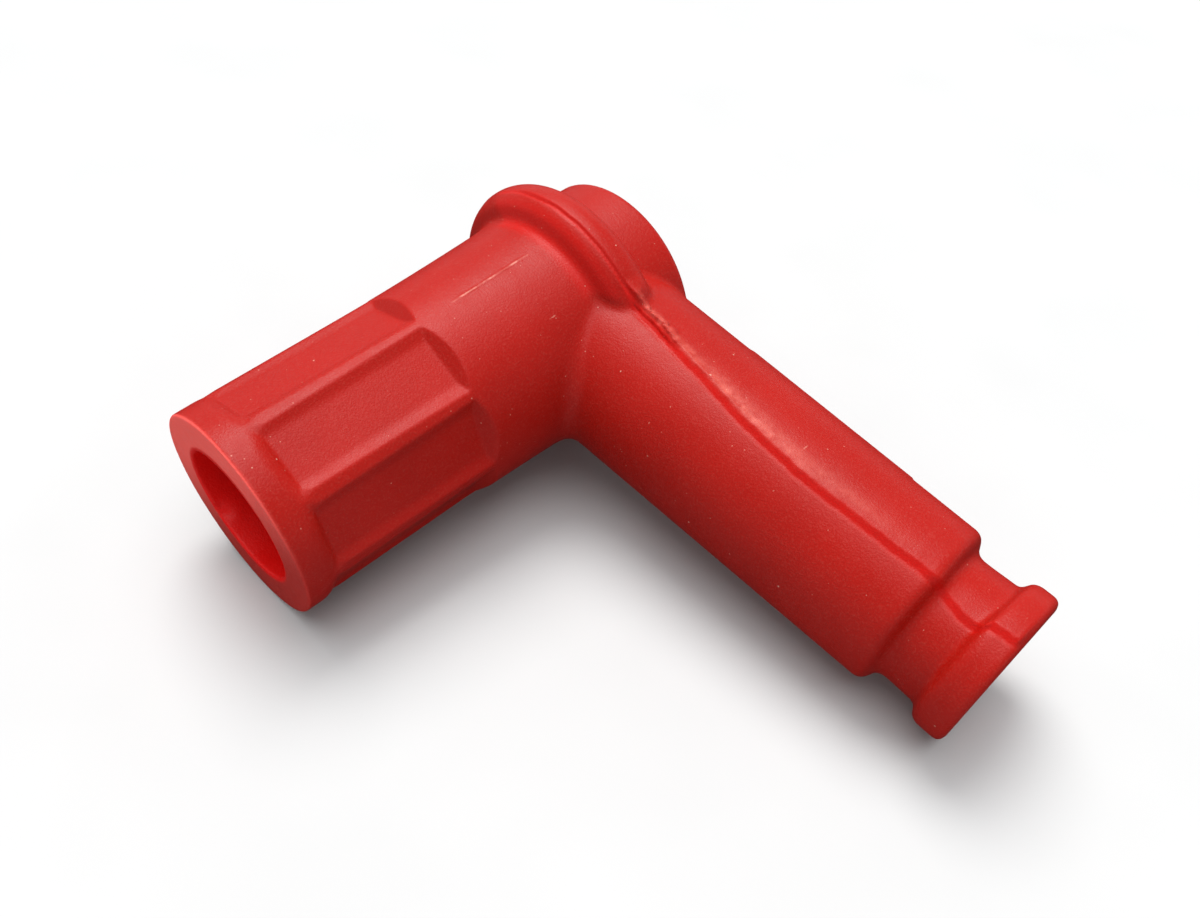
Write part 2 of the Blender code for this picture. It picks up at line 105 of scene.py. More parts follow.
PAD_END = 43.3
PAD_HEIGHT = 0.26
PAD_RAMP = 0.25
PAD_HALF_ANGLE = math.radians(50)
PAD_SIDE_RAMP = 0.5
PANELS = 8
PANEL_FLOOR = 10.62
PANEL_NEAR = -40.6
PANEL_FAR = -19.7
PANEL_FLOOR_HALF = 2.7
PANEL_SIDE_SLOPE = math.radians(16.5)
PANEL_END_SLOPE = math.radians(42)
PANEL_END_RUN = 1.1
PANEL_EDGE = 0.12
PANEL_MOUTH_EDGE = 0.72
CORE_ARM_R = 5.6
CORE_CLEARANCE = 0.3
PLUG_LIPS = (-34.6, -31.0)
LEAD_LIPS = (51.5, 55.0, 58.5)

# The lead arm's mould line starts at an angle down the mouth's side, in degrees, and each turn changes
# that angle between two places along the arm. One side stands higher by a step, which then dies away.
SEAM_START = 9.0
SEAM_RUN_IN = 2.0
SEAM_FIRST_ANGLE = 2.5
SEAM_TURNS = ((6.0, 37.0, 17.0), (40.0, 52.0, -2.0), (53.0, 57.0, 4.0), (57.6, 58.3, -5.5))
SEAM_STEP = 0.34
SEAM_RAMP = 0.4
SEAM_CARRY = 2.4
SEAM_GROOVE = 0.07
SEAM_UNDERNEATH = 0.4

# Torn flash on that line. A stretch says where along the arm it rises, is full, fades and ends.
TORN_STRETCH = (10.0, 12.0, 15.5, 19.0)
FAINT_STRETCH = (16.0, 18.0, 24.0, 32.0)
FLASH_HEIGHT = 0.40
FAINT_FLASH_HEIGHT = 0.10
FLASH_PLACE = -0.55
FLASH_WIDTH = 0.15
FLAP_HEIGHT = 0.28
FLAP_PLACE = -1.25

# The mould line over the ring bead, with its small tab, and the one on top of the socket arm
RING_STEP = 0.15
RING_STEP_CARRY = 1.3
RING_RAMP = 0.12
RING_NOTCH = 0.11
RING_NOTCH_PLACE = -0.15
RING_TAB_HEIGHT = 0.12
RING_TAB_WIDTH = 1.5
RING_TAB_ANGLE = math.radians(44)
TOP_LINE = (-16.0, -5.5)
TOP_LINE_HEIGHT = 0.09
TOP_LINE_WIDTH = 0.15

# Silicone colours
RED_DARK = (0.285, 0.005, 0.0025)
RED_LIGHT = (0.32, 0.006, 0.003)
BLOOM = (0.46, 0.11, 0.08)
# painted light: the paler colour of the cut mouth face stands in for light falling on it
CUT_FACE_LIGHT = (0.84, 0.105, 0.09)
# painted highlight: the pale colour on the crest beside the lead arm's mould line
SEAM_HIGHLIGHT_COLOUR = (0.56, 0.13, 0.10)
LIT_THROUGH = (0.64, 0.004, 0.003)
# painted highlight on the fine raised line along the top of the socket arm
TOP_LINE_HIGHLIGHT = (0.66, 0.30, 0.23)
DUST = (0.55, 0.26, 0.20)
FINE_DUST = (0.52, 0.20, 0.15)

# Contact spring
SPRING_WIRE_R = 0.35
SPRING_TURNS = 7.5
SPRING_SIDES = 10
SPRING_STEPS = 36
CLOSED_SHARE = 0.12

# Floor, lights and camera
FLOOR_HALF = 12.0
KEY_TOWARDS = (-0.48, 0.26, 0.84)
KEY_SPREAD = 36
KEY_STRENGTH = 2.95
KEY_COLOUR = (1.0, 0.985, 0.96)
TOP_TOWARDS = (-0.10, 0.05, 1.0)
TOP_SPREAD = 60
TOP_STRENGTH = 2.55
BELOW_FLOOR, HORIZON, OVERHEAD = 0.03, 0.95, 0.53
CAMERA_LENS = 32.675
CAMERA_RIGHT = (0.69555, 0.71307, 0.08794)
CAMERA_FORWARD = (-0.37576, 0.46536, -0.80140)
CAMERA_PLACE = (61.365, -64.802, 91.953)

COARSE_STEP = 1.0
FINE_STEP = 0.2


# ---------------------------------------------------------------- surface field of the boot


def smooth_step(low, high, value):
    """0 below low and 1 above high, with an eased ramp between; high may be the smaller one."""
    share = np.clip((value - low) / (high - low), 0.0, 1.0)
    return share * share * (3.0 - 2.0 * share)


def stretch(value, rise, full, fade, end):
    """1 from full to fade, easing to 0 at rise and at end."""
    return smooth_step(rise, full, value) * (1.0 - smooth_step(fade, end, value))


def hump(value, centre, width):
    """A rounded hump, 1 at its centre and nearly 0 at twice its width from there."""
    return np.exp(-(((value - centre) / width) ** 2))


def join(a, b, blend):
    """The nearer of two distances, with a fillet about as wide as blend."""
    overlap = np.maximum(blend - np.abs(a - b), 0.0)
    return np.minimum(a, b) - overlap * overlap / (4.0 * blend)


def cut(a, b, blend):
    """Inside a and outside b, with a rounded edge."""
    return -join(-a, b, blend)


def both(a, b, blend):
    """Inside a and inside b, with a rounded edge."""
    return -join(-a, -b, blend)


def wobble(value, seed):
    """A smooth irregular curve along a line, mostly between -1 and 1."""
    total = 0.0
    for k in range(1, 6):
        phase = math.sin(seed * 12.9898 + k * 78.233) * 43758.5453
        total = total + np.sin(value * (0.37 * k**1.35) + phase) / k**0.6
    return total / 2.6


def socket_radius(y):
    """Radius of the socket arm, which widens from the mouth towards the elbow."""
    flare = np.maximum(0.0, (y - FLARE_START) / -FLARE_START)
    return MOUTH_R + SOCKET_DRAFT * (y - MOUTH_Y) + ELBOW_FLARE * flare**ELBOW_FLARE_POWER


def panel_space(x, y, z):
    """The recesses between the grip ribs, negative inside them."""
    pitch = math.tau / PANELS
    angle = np.arctan2(x, z)
    turned = np.mod(angle, pitch) - pitch / 2
    reach = np.hypot(x, z)
    across = np.abs(reach * np.sin(turned))
    height = reach * np.cos(turned) - PANEL_FLOOR
    side, end = PANEL_SIDE_SLOPE, PANEL_END_SLOPE
    walls = (across - PANEL_FLOOR_HALF) * math.sin(side) - height * math.cos(side)
    near = (PANEL_NEAR + PANEL_END_RUN - y) * math.sin(end) - height * math.cos(end)
    far = (y - PANEL_FAR + PANEL_END_RUN) * math.sin(end) - height * math.cos(end)
    return both(both(walls, -height, PANEL_EDGE), both(near, far, PANEL_EDGE), 0.16)


def socket_arm(x, y, z):
    """The arm along Y, with its panels cut in and its closed dome end."""
    reach = np.hypot(x, z)
    wall = reach - socket_radius(np.minimum(y, BEAD_Y))
    near_rim = np.exp(-np.maximum(y - MOUTH_Y, 0.0) / 0.9)
    wall = wall + RIM_UNEVEN * wobble(np.arctan2(x, z) * 3.0, 11.0) * near_rim
    arm = both(both(wall, MOUTH_Y - y, SMALL_EDGE), y - 2.0, SMALL_EDGE)
    softer = (PANEL_MOUTH_EDGE - PANEL_EDGE) * smooth_step(PANEL_NEAR + 2.1, PANEL_NEAR + 0.1, y)
    arm = cut(arm, panel_space(x, y, z), PANEL_EDGE + softer)
    share = np.maximum(y - DOME_STRAIGHT, 0.0) / (DOME_END - DOME_STRAIGHT)
    crown = ((reach / DOME_R) ** DOME_POWER + share**DOME_POWER) ** (1 / DOME_POWER) - 1
    steep = np.hypot(
        (reach / DOME_R) ** (DOME_POWER - 1) / DOME_R,
        share ** (DOME_POWER - 1) / (DOME_END - DOME_STRAIGHT),
    )
    dome = both(crown / np.maximum(steep, 0.02), -1.0 - y, SMALL_EDGE)
    return join(arm, dome, DOME_FILLET)


def ring_bead(x, y, z):
    """The ring round the elbow, an ellipse in section."""
    reach = np.hypot(x, z)
    along = (y - BEAD_Y) / BEAD_HALF_WIDTH
    up = (reach - (BEAD_R - BEAD_HEIGHT)) / BEAD_HEIGHT
    size = np.sqrt(along**2 + up**2) + 1e-6
    slope = np.sqrt((along / BEAD_HALF_WIDTH) ** 2 + (up / BEAD_HEIGHT) ** 2) / size + 1e-6
    return (size - 1.0) / slope


def lead_arm(x, y, z):
    """The arm along X: tapered barrel with a raised pad, shoulder, neck and end bead."""
    reach = np.hypot(y, z)
    from_back = np.abs(np.arctan2(z, y))
    pad = stretch(x, PAD_START - PAD_RAMP, PAD_START + PAD_RAMP, PAD_END - PAD_RAMP, PAD_END + PAD_RAMP)
    pad = pad * (1.0 - smooth_step(PAD_HALF_ANGLE - PAD_SIDE_RAMP, PAD_HALF_ANGLE, from_back))
    wall = reach - (LEAD_R0 - LEAD_DRAFT * x) - PAD_HEIGHT * pad
    arm = both(both(wall, x - SHOULDER_X, SHOULDER_EDGE), 1.0 - x, SMALL_EDGE)
    waist = NECK_R + NECK_SWELL * smooth_step(*NECK_STRETCH, x)
    neck = both(both(reach - waist, x - LEAD_END_X + 0.4, SMALL_EDGE), NECK_ROOT_X - x, SMALL_EDGE)
    mouth_half = smooth_step(-1.0, 1.0, seam_offset(x, y, z))
    near_face = END_BEAD_X - END_BEAD_SHIFT * mouth_half
    bead = both(reach - END_BEAD_R, x - LEAD_END_X, END_BEAD_OUTER_EDGE)
    bead = both(bead, near_face - x, END_BEAD_INNER_EDGE)
    return join(join(arm, neck, NECK_FILLET), bead, BEAD_FILLET)


def round_hole(along, reach, start, end, radius):
    """A cylinder from start to end along its axis."""
    return np.maximum(np.maximum(start - along, along - end), reach - radius)


def lip(along, reach, centre, half_width, radius, root):
    """A rounded sealing ring that stands in from a bore of radius root."""
    depth = root - radius
    size = np.sqrt(((along - centre) / half_width) ** 2 + ((reach - root) / depth) ** 2) + 1e-6
    return (size - 1.0) * min(half_width, depth)


def seam_offset(x, y, z):
    """How far a point of the lead arm lies from its mould line, positive on the mouth's side."""
    degrees = SEAM_FIRST_ANGLE
    for start, end, turn in SEAM_TURNS:
        degrees = degrees + turn * smooth_step(start, end, x)
    drift = 0.10 * wobble(x * 1.7, 3.0) + 0.15 * wobble(x * 0.5, 5.0) * smooth_step(50.0, 54.0, x)
    return np.hypot(y, z) * (np.arctan2(-y, np.abs(z)) - np.radians(degrees)) + drift


def lead_seam(x, y, z):
    """The step where the lead arm's mould halves met, with torn flash near the ring."""
    offset = seam_offset(x, y, z)
    shown = stretch(x, SEAM_START, SEAM_START + SEAM_RUN_IN, LEAD_END_X - 0.7, LEAD_END_X - 0.2)
    shown = shown * np.where(z > 0, 1.0, SEAM_UNDERNEATH)
    height = SEAM_STEP + 0.05 * wobble(x * 1.3, 1.0)
    behind = np.maximum(-offset - SEAM_RAMP, 0.0)
    step = height * smooth_step(SEAM_RAMP, -SEAM_RAMP, offset) * np.exp(-behind / SEAM_CARRY)
    torn = stretch(x, *TORN_STRETCH)
    faint = stretch(x, *FAINT_STRETCH)
    edge = FLASH_PLACE + 0.15 * wobble(x * 4.1, 2.0)
    flash = (FLASH_HEIGHT * torn + FAINT_FLASH_HEIGHT * faint) * hump(offset, edge, FLASH_WIDTH)
    flap_edge = FLAP_PLACE + 0.45 * wobble(x * 2.9, 4.0)
    flap = FLAP_HEIGHT * torn * smooth_step(flap_edge - 0.12, flap_edge + 0.12, offset) * (offset < 0.0)
    groove = -SEAM_GROOVE * hump(offset, 0.5, 0.16)
    return shown * (step + flash + flap + groove)


def ring_seam(x, y, z):
    """The crisp step over the ring bead, and the fine line along the top of the socket arm."""
    reach = np.hypot(x, z)
    angle = np.arctan2(x, z)
    away = y - PARTING_Y - 0.11 * wobble(angle * 9.0, 7.0)
    on_ring = smooth_step(13.2, 14.0, reach) * (1.0 - smooth_step(10.5, 12.5, x))
    on_ring = on_ring * (0.25 + 0.75 * smooth_step(-0.60, -0.32, angle))
    raised = smooth_step(-RING_RAMP, RING_RAMP, away)
    step = RING_STEP * raised * np.exp(-np.maximum(away, 0) / RING_STEP_CARRY)
    notch = -RING_NOTCH * hump(away, RING_NOTCH_PLACE, 0.15)
    from_tab = (angle - RING_TAB_ANGLE) * reach
    tab = RING_TAB_HEIGHT * np.exp(-((from_tab / RING_TAB_WIDTH) ** 4))
    tab = tab * smooth_step(2.1, 1.7, y) * raised
    on_top = hump(x, 0.0, TOP_LINE_WIDTH) * (z > 0) * (reach < 13.2)
    start, end = TOP_LINE
    line = TOP_LINE_HEIGHT * on_top * smooth_step(start, start + 1.2, y) * smooth_step(end, end - 1.5, y)
    return on_ring * (step + notch + tab) + line


def boot_field(x, y, z):
    """Distance to the boot's surface, roughly, and negative inside the silicone."""
    socket = socket_arm(x, y, z)
    bead = ring_bead(x, y, z)
    socket = join(socket, bead, RING_FILLET)
    inner = smooth_step(-4.0, -11.0, y)
    corner = OUTER_CORNER_FILLET + (INNER_CORNER_FILLET - OUTER_CORNER_FILLET) * inner
    body = join(socket, lead_arm(x, y, z), corner)
    body = body - lead_seam(x, y, z) - ring_seam(x, y, z)
    across = np.hypot(x, z)
    angle = np.arctan2(x, z)
    oval = SOCKET_BORE_R - BORE_OVAL * np.cos(2.0 * angle) + 0.05 * wobble(angle * 5.0, 9.0)
    nick = NICK_DEPTH * np.exp(-(((angle - NICK_ANGLE) * 7.0) ** 2 + (y - MOUTH_Y) ** 2))
    bore = round_hole(y, across, MOUTH_Y - 2.0, SOCKET_BORE_END, oval + nick)
    throat = round_hole(y, across, THROAT_START, CORE_FRONT - CORE_CLEARANCE, THROAT_R)
    bore = np.minimum(bore, throat)
    core_hole = (CORE_FRONT - CORE_CLEARANCE, CORE_BACK + CORE_CLEARANCE, CORE_R + CORE_CLEARANCE)
    bore = np.minimum(bore, round_hole(y, across, *core_hole))
    around = np.hypot(y, z)
    inlet = round_hole(x, around, 0.0, CORE_ARM_END + CORE_CLEARANCE, CORE_ARM_R + CORE_CLEARANCE)
    inlet = np.minimum(inlet, round_hole(x, around, CORE_ARM_END, LEAD_END_X + 2.0, LEAD_BORE_R))
    body = cut(body, np.minimum(bore, inlet), BORE_EDGE)
    for centre in PLUG_LIPS:
        ring = lip(y, across, centre, LIP_HALF_WIDTH, LIP_R, THROAT_R + 0.2)
        body = join(body, ring, 0.3)
    for centre in LEAD_LIPS:
        ring = lip(x, around, centre, LEAD_LIP_HALF_WIDTH, LEAD_LIP_R, LEAD_BORE_R + 0.1)
        body = join(body, ring, 0.2)
    return body


# ---------------------------------------------------------------- field to mesh


def field_near(low, counts, step):
    """Field values on a grid, fine near the surface and coarse elsewhere."""
    ratio = round(COARSE_STEP / step)
    coarse_counts = [int(math.ceil(n / ratio)) + 2 for n in counts]
    axes = [low[k] + COARSE_STEP * np.arange(coarse_counts[k]) for k in range(3)]
    grid = np.meshgrid(*axes, indexing="ij")
    coarse = boot_field(*[g.ravel() for g in grid]).reshape(coarse_counts)
    spread = coarse.astype(np.float32)
    near = np.abs(spread) < COARSE_STEP * 2.1
    value = np.repeat(np.repeat(np.repeat(spread, ratio, 0), ratio, 1), ratio, 2)
    band = np.repeat(np.repeat(np.repeat(near, ratio, 0), ratio, 1), ratio, 2)
    value = value[: counts[0], : counts[1], : counts[2]].copy()
    band = band[: counts[0], : counts[1], : counts[2]]
    index = np.argwhere(band)
    points = np.asarray(low) + index * step
    chunk = 400000
    for start in range(0, len(index), chunk):
        part = slice(start, start + chunk)
        found = boot_field(points[part, 0], points[part, 1], points[part, 2])
        value[index[part, 0], index[part, 1], index[part, 2]] = found
    return value


def gradient(points, reach=0.03):
    """Slope of the boot field at each point."""
    slopes = []
    for k in range(3):
        ahead, behind = points.copy(), points.copy()
        ahead[:, k] += reach
        behind[:, k] -= reach
        slopes.append((boot_field(*ahead.T) - boot_field(*behind.T)) / (2 * reach))
    return np.stack(slopes, 1)


def settle(points, rounds=3, limit=0.15):
    """Move points on to the field's zero surface."""
    for _ in range(rounds):
        slope = gradient(points)
        size = np.maximum((slope**2).sum(1), 0.05)
        move = -(boot_field(*points.T) / size)[:, None] * slope
        length = np.linalg.norm(move, axis=1, keepdims=True)
        points = points + move * np.minimum(1.0, limit / np.maximum(length, 1e-9))
    return points


def surface_net(low, counts, step):
    """Quads through the grid cells that the surface crosses."""
    value = field_near(low, counts, step)
    inside = value < 0
    shape = tuple(n - 1 for n in counts)
    total = np.zeros(shape, np.int16)
    corners = [(i, j, k) for i in (0, 1) for j in (0, 1) for k in (0, 1)]
    for i, j, k in corners:
        total += inside[i : shape[0] + i, j : shape[1] + j, k : shape[2] + k]
    cells = np.argwhere((total > 0) & (total < 8))
    number = np.full(shape, -1, np.int32)
    number[tuple(cells.T)] = np.arange(len(cells))
    place = np.zeros((len(cells), 3))
    weight = np.zeros(len(cells))
    for a in range(8):
        for b in range(a + 1, 8):
            ca, cb = np.array(corners[a]), np.array(corners[b])
            if np.abs(ca - cb).sum() != 1:
                continue
            va = value[tuple((cells + ca).T)]
            vb = value[tuple((cells + cb).T)]
            crossed = (va < 0) != (vb < 0)
            share = np.where(crossed, va / np.where(crossed, va - vb, 1.0), 0.0)
            place += np.where(crossed[:, None], ca + share[:, None] * (cb - ca), 0.0)
            weight += crossed
    points = np.asarray(low) + (cells + place / weight[:, None]) * step
    quads = []
    for axis in range(3):
        ahead = [slice(None)] * 3
        behind = [slice(None)] * 3
        ahead[axis], behind[axis] = slice(1, None), slice(None, -1)
        crossed = inside[tuple(behind)] != inside[tuple(ahead)]
        edges = np.argwhere(crossed)
        u, v = (axis + 1) % 3, (axis + 2) % 3
        keep = (edges[:, u] > 0) & (edges[:, v] > 0)
        keep &= (edges[:, u] < shape[u]) & (edges[:, v] < shape[v])
        edges = edges[keep]
        ring = []
        for du, dv in ((-1, -1), (0, -1), (0, 0), (-1, 0)):
            cell = edges.copy()
            cell[:, u] += du
            cell[:, v] += dv
            ring.append(number[tuple(cell.T)])
        quad = np.stack(ring, 1)
        starts_inside = inside[tuple(edges.T)]
        quad[~starts_inside] = quad[~starts_inside][:, ::-1]
        quads.append(quad)
    return points, np.concatenate(quads)


def mesh_object(name, points, faces):
    """An object made of quads, from points in millimetres about the crossing."""
    mesh = bpy.data.meshes.new(name)
    mesh.vertices.add(len(points))
    mesh.vertices.foreach_set("co", (points * MM + np.array(CROSSING)).ravel())
    mesh.loops.add(faces.size)
    mesh.loops.foreach_set("vertex_index", faces.ravel().astype(np.int32))
    mesh.polygons.add(len(faces))
    mesh.polygons.foreach_set("loop_start", np.arange(0, faces.size, 4, dtype=np.int32))
    mesh.update(calc_edges=True)
    mesh.validate()
    mesh.shade_smooth()
    made = bpy.data.objects.new(name, mesh)
    bpy.context.collection.objects.link(made)
    return made


def mouth_face_light(x, y, z):
    """Painted light on the cut face round the mouth: a paler colour, strongest towards its upper side, where
    more light falls.
    """
    upper = smooth_step(-6.0, 8.0, 0.8 * z - 0.6 * x)
    return smooth_step(MOUTH_Y + 0.25, MOUTH_Y + 0.05, y) * (0.17 + 0.83 * upper)


def seam_highlight(x, y, z):
    """Painted highlight on the crest along the mould line's high side, strongest by the torn flash, with a
    broader painted sheen further along.
    """
    offset = seam_offset(x, y, z)
    torn = smooth_step(10.0, 12.5, x) * (1.8 - 0.8 * smooth_step(15.0, 20.0, x))
    crest = torn * (1.0 - smooth_step(30.0, 42.0, x)) * hump(offset, -0.8, 0.45)
    sheen = 0.5 * stretch(x, 18.0, 26.0, 38.0, 51.0) * hump(offset, -1.35, 0.75)
    shown = (z > 0) * (np.hypot(y, z) > 6.0)
    return shown * (crest * np.clip(0.65 + 0.45 * wobble(x * 3.2, 8.0), 0.0, 1.0) + sheen)


def glow(x, y, z):
    """Where light comes through thin silicone: the mouth's bore, the mould line and the ring's foot."""
    across = np.hypot(x, z)
    bore = smooth_step(7.95, 7.8, across) * smooth_step(-26.0, -32.0, y)
    step = hump(seam_offset(x, y, z), 0.1, 0.4) * (z > 0) * (np.hypot(y, z) > 6.0)
    step = step * stretch(x, SEAM_START, SEAM_START + SEAM_RUN_IN, LEAD_END_X - 0.8, LEAD_END_X - 0.3)
    on_ring = smooth_step(11.3, 12.3, across) * smooth_step(10.5, 11.3, np.hypot(y, z))
    on_ring = on_ring * (1.0 - smooth_step(9.5, 12.0, x))
    foot = smooth_step(-0.9, -2.0, y) * smooth_step(-4.6, -3.0, y)
    notch = hump(y, PARTING_Y + RING_NOTCH_PLACE, 0.3)
    return np.clip(bore + 0.42 * step + on_ring * (0.28 * foot + 0.32 * notch), 0.0, 1.0)


def paint(made, name, values):
    """Store one number for each vertex, which the material reads."""
    layer = made.data.attributes.new(name, "FLOAT", "POINT")
    layer.data.foreach_set("value", values.astype(np.float32))


def boot_surface():
    """The silicone boot as one closed mesh, with its painted masks."""
    low = np.array([-BEAD_R - 0.9, MOUTH_Y - 0.9, -BEAD_R - 0.9])
    high = np.array([LEAD_END_X + 0.9, DOME_END + 0.9, BEAD_R + 0.9])
    step = FINE_STEP
    counts = [int(n) for n in np.ceil((high - low) / step)]
    points, faces = surface_net(low, counts, step)
    points = settle(points)
    made = mesh_object("silicone_boot", points, faces)
    paint(made, "mouth_face_light", mouth_face_light(*points.T))
    paint(made, "seam_highlight", seam_highlight(*points.T))
    paint(made, "glow", glow(*points.T))
    return made


# ---------------------------------------------------------------- materials


class Nodes:
    """Short-hand for building one material's node tree."""

    def __init__(self, name):
        self.material = bpy.data.materials.new(name)
        self.material.use_nodes = True
        self.tree = self.material.node_tree
        self.shader = self.tree.nodes["Principled BSDF"]
        self.place = self.tree.nodes.new("ShaderNodeTexCoord").outputs["Object"]

    def add(self, kind, **settings):
        node = self.tree.nodes.new(kind)
        for key, value in settings.items():
            setattr(node, key, value)
        return node

    def link(self, source, target):
        self.tree.links.new(source, target)

    def noise(self, scale, detail=3.0, roughness=0.5, source=None):
        node = self.add("ShaderNodeTexNoise")
        node.inputs["Scale"].default_value = scale
        node.inputs["Detail"].default_value = detail
        node.inputs["Roughness"].default_value = roughness
        self.link(source or self.place, node.inputs["Vector"])
        return node.outputs["Fac"]

    def ramp(self, source, stops):
        node = self.add("ShaderNodeValToRGB")
        elements = node.color_ramp.elements
        while len(elements) < len(stops):
            elements.new(0.5)
        for element, (position, colour) in zip(elements, stops):
            element.position = position
            element.color = (*colour, 1.0) if len(colour) == 3 else colour
        self.link(source, node.inputs["Fac"])
        return node.outputs["Color"]

    def range(self, source, low, high, to_low, to_high):
        node = self.add("ShaderNodeMapRange")
        for key, value in (("From Min", low), ("From Max", high), ("To Min", to_low), ("To Max", to_high)):
            node.inputs[key].default_value = value
        self.link(source, node.inputs["Value"])
        return node.outputs["Result"]

    def mix(self, share, a, b):
        node = self.add("ShaderNodeMix", data_type="RGBA")
        for source, socket in ((share, node.inputs[0]), (a, node.inputs[6]), (b, node.inputs[7])):
            if hasattr(source, "is_linked"):
                self.link(source, socket)
            elif isinstance(source, tuple):
                socket.default_value = (*source, 1.0)
            else:
                socket.default_value = source
        return node.outputs[2]

    def bump(self, height, distance, strength=1.0, below=None):
        node = self.add("ShaderNodeBump")
        node.inputs["Strength"].default_value = strength
        node.inputs["Distance"].default_value = distance
        self.link(height, node.inputs["Height"])
        if below:
            self.link(below, node.inputs["Normal"])
        return node.outputs["Normal"]

    def value(self, socket, number):
        self.shader.inputs[socket].default_value = number


def multiply(nodes, a, b):
    node = nodes.add("ShaderNodeMath", operation="MULTIPLY")
    nodes.link(a, node.inputs[0])
    nodes.link(b, node.inputs[1])
    return node.outputs[0]


def specks(nodes, scale, size, stretch=(1, 1, 1)):
    """Sparse dots in the cells whose random number is high; a stretch under 1 makes them longer."""
    mapping = nodes.add("ShaderNodeMapping")
    mapping.inputs["Scale"].default_value = stretch
    nodes.link(nodes.place, mapping.inputs["Vector"])
    cell = nodes.add("ShaderNodeTexVoronoi")
    cell.inputs["Scale"].default_value = scale
    nodes.link(mapping.outputs["Vector"], cell.inputs["Vector"])
    split = nodes.add("ShaderNodeSeparateColor")
    nodes.link(cell.outputs["Color"], split.inputs["Color"])
    chosen = nodes.range(split.outputs["Red"], 0.50, 0.54, 0.0, 1.0)
    ragged = nodes.noise(scale * 6, 2.0)
    spread = nodes.add("ShaderNodeMath", operation="MULTIPLY_ADD")
    nodes.link(ragged, spread.inputs[0])
    spread.inputs[1].default_value = -size * 1.6
    nodes.link(cell.outputs["Distance"], spread.inputs[2])
    dot = nodes.range(spread.outputs[0], size * 0.1, -size * 0.2, 0.0, 1.0)
    return multiply(nodes, dot, chosen)


def along(nodes, axis, low, high):
    """A 0 to 1 ramp over a stretch of one axis, in millimetres about the axes' crossing."""
    split = nodes.add("ShaderNodeSeparateXYZ")
    nodes.link(nodes.place, split.inputs[0])
    base = CROSSING["XYZ".index(axis)]
    return nodes.range(split.outputs[axis], base + low * MM, base + high * MM, 0.0, 1.0)


def painted(nodes, name):
    """The number that paint() stored on the mesh."""
    node = nodes.add("ShaderNodeAttribute")
    node.attribute_name = name
    return node.outputs["Fac"]


def off_plane(nodes):
    """Distance from the upright plane through the socket's axis."""
    split = nodes.add("ShaderNodeSeparateXYZ")
    nodes.link(nodes.place, split.inputs[0])
    shift = nodes.add("ShaderNodeMath", operation="SUBTRACT")
    nodes.link(split.outputs["X"], shift.inputs[0])
    shift.inputs[1].default_value = CROSSING.x
    size = nodes.add("ShaderNodeMath", operation="ABSOLUTE")
    nodes.link(shift.outputs[0], size.inputs[0])
    return size.outputs[0]


def top_line(nodes):
    """Painted highlight on the fine mould line along the top of the socket arm, broken up by noise."""
    start, end = TOP_LINE
    stretch = multiply(nodes, along(nodes, "Y", start - 0.2, start + 1.0), along(nodes, "Y", end, end - 1.0))
    line = multiply(nodes, nodes.range(off_plane(nodes), 0.14 * MM, 0.05 * MM, 0.0, 0.45), stretch)
    line = multiply(nodes, line, nodes.range(nodes.noise(1100.0, 2.0), 0.42, 0.6, 0.2, 1.0))
    return multiply(nodes, line, along(nodes, "Z", 8.0, 9.0))


def silicone():
    nodes = Nodes("red_silicone")
    cloud = nodes.noise(90.0, 4.0)
    base = nodes.ramp(cloud, [(0.3, RED_DARK), (0.7, RED_LIGHT)])
    grain = nodes.noise(4600.0, 2.0, 0.6)
    base = nodes.mix(nodes.range(grain, 0.5, 0.8, 0.0, 0.14), base, BLOOM)
    # painted light on the cut mouth face, paler towards its upper side
    base = nodes.mix(painted(nodes, "mouth_face_light"), base, CUT_FACE_LIGHT)
    patches = nodes.range(nodes.noise(1400.0, 3.0), 0.3, 0.7, 0.15, 0.6)
    # painted highlight along the crest on the mould line's high side, broken up by noise
    base = nodes.mix(multiply(nodes, painted(nodes, "seam_highlight"), patches), base, SEAM_HIGHLIGHT_COLOUR)
    base = nodes.mix(painted(nodes, "glow"), base, LIT_THROUGH)
    # painted highlight on the fine line along the top of the socket arm
    base = nodes.mix(top_line(nodes), base, TOP_LINE_HIGHLIGHT)
    dust = specks(nodes, 420.0, 0.048)
    base = nodes.mix(nodes.range(dust, 0.0, 1.0, 0.0, 0.8), base, DUST)
    fine_dust = specks(nodes, 900.0, 0.075)
    base = nodes.mix(nodes.range(fine_dust, 0.0, 1.0, 0.0, 0.6), base, FINE_DUST)
    hairs = specks(nodes, 560.0, 0.06, (1.0, 0.2, 1.0))
    base = nodes.mix(nodes.range(hairs, 0.0, 1.0, 0.0, 0.5), base, FINE_DUST)
    nodes.link(base, nodes.shader.inputs["Base Color"])
    gloss = nodes.range(nodes.noise(500.0, 3.0), 0.3, 0.7, 0.35, 0.45)
    nodes.link(gloss, nodes.shader.inputs["Roughness"])
    nodes.value("IOR", 1.42)
    nodes.value("Specular IOR Level", 0.19)
    nodes.value("Subsurface Weight", 0.10)
    nodes.value("Subsurface Scale", 1.0 * MM)
    nodes.shader.inputs["Subsurface Radius"].default_value = (1.0, 0.10, 0.06)
    fine = nodes.bump(grain, 0.06 * MM, 0.7)
    soft = nodes.bump(nodes.noise(650.0, 3.0), 0.10 * MM, 0.3, fine)
    nodes.link(nodes.bump(dust, 0.05 * MM, 0.6, soft), nodes.shader.inputs["Normal"])
    return nodes.material


